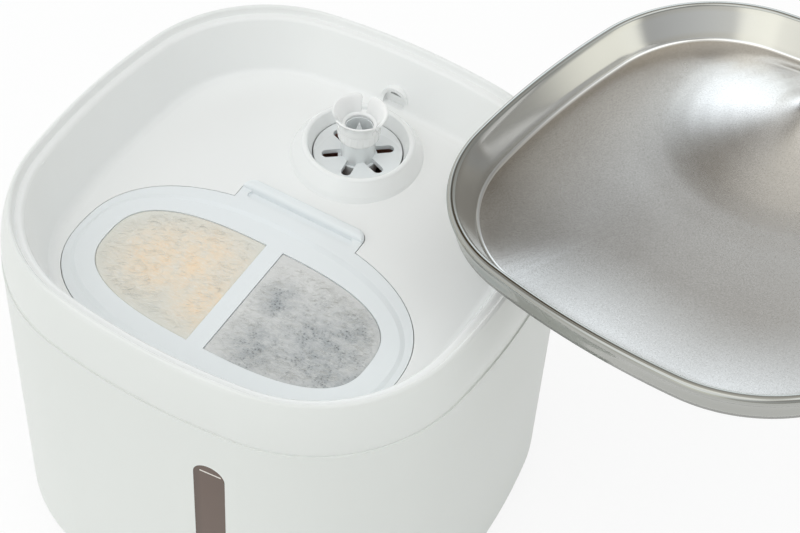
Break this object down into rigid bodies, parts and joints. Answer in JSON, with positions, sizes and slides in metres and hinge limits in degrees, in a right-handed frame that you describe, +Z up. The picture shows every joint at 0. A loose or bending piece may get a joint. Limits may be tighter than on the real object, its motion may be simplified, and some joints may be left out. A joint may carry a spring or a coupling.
{
  "type": "pet water fountain",
  "caption": "Softly squared pet water fountain, opened: white tank, basin with filter cartridge and pump outlet, and a steel drinking tray held off to one side.",
  "frame": {"origin": "on the floor under the middle of the base, on the face of the middle foot", "axes": "+Z up, -Y is the front with the level window, +X to the right seen from the front"},
  "size_m": [0.3299, 0.2444, 0.2091],
  "materials": {
    "matte_white": "fine matte moulded plastic",
    "gloss_white": "smooth glossy moulded plastic",
    "smoked_clear": "smoked brown clear plastic",
    "smoked_brown": "dark brown tinted plastic",
    "black_plastic": "moulded black plastic",
    "grey_rubber": "matte silicone rubber",
    "board_green": "solder-masked board",
    "can_aluminium": "drawn can",
    "steel": "plain steel",
    "copper_wire": "enamelled copper windings",
    "ferrite": "sintered ferrite",
    "black_foam": "open-cell foam",
    "clear_tube": "translucent milky plastic",
    "white_felt": "cotton felt",
    "resin_grains": "small cream and orange beads under fleece",
    "carbon_grains": "grey and black carbon grains under fleece",
    "tray_steel": "stainless sheet, satin floor and polished rim"
  },
  "bodies": {
    "tank": {"tank_shell": "matte_white", "level_window": "smoked_clear", "base_plate": "matte_white", "base_screws": "steel", "non_slip_feet": "grey_rubber", "control_board": "board_green", "driver_chip": "black_plastic", "buffer_capacitor": "can_aluminium", "power_socket": "black_plastic", "stator_core": "steel", "drive_coil": "copper_wire", "pump_housing": "smoked_brown", "pump_cover": "smoked_brown", "pump_sleeve": "smoked_brown", "foam_filter": "black_foam", "riser_tube": "clear_tube", "riser_seal": "grey_rubber", "pump_grille": "gloss_white", "impeller_shaft": "steel"},
    "rotor": {"impeller": "matte_white", "rotor_magnet": "ferrite"},
    "top": {"top_housing": "gloss_white", "housing_seal": "grey_rubber"},
    "cartridge": {"filter_tray": "gloss_white", "resin_felt": "white_felt", "carbon_felt": "white_felt", "resin_bed": "resin_grains", "carbon_bed": "carbon_grains"},
    "lid": {"filter_lid": "gloss_white"},
    "nozzle": {"outlet_nozzle": "clear_tube"},
    "tray": {"drinking_tray": "tray_steel", "tray_outlet_ring": "grey_rubber"}
  },
  "joints": [
    {"name": "top_housing_lift", "type": "slide", "parent": "tank", "child": "top", "axis": [0, 0, 1], "range_m": [0, 0.1]},
    {"name": "tray_slide", "type": "slide", "parent": "top", "child": "tray", "axis": [-0.8901, -0.3497, 0.2924], "range_m": [0, 0.1573]},
    {"name": "filter_lift", "type": "slide", "parent": "top", "child": "cartridge", "axis": [0, -0.0499, 0.9988], "range_m": [0, 0.04]},
    {"name": "filter_lid_lift", "type": "slide", "parent": "cartridge", "child": "lid", "axis": [0, -0.0499, 0.9988], "range_m": [0, 0.02]},
    {"name": "nozzle_pull", "type": "slide", "parent": "tank", "child": "nozzle", "axis": [0, 0, 1], "range_m": [0, 0.03]},
    {"name": "impeller_spin", "type": "hinge", "parent": "tank", "child": "rotor", "pos_m": [0, 0.0475, 0.03], "axis": [0, 0, 1], "continuous": true}
  ]
}
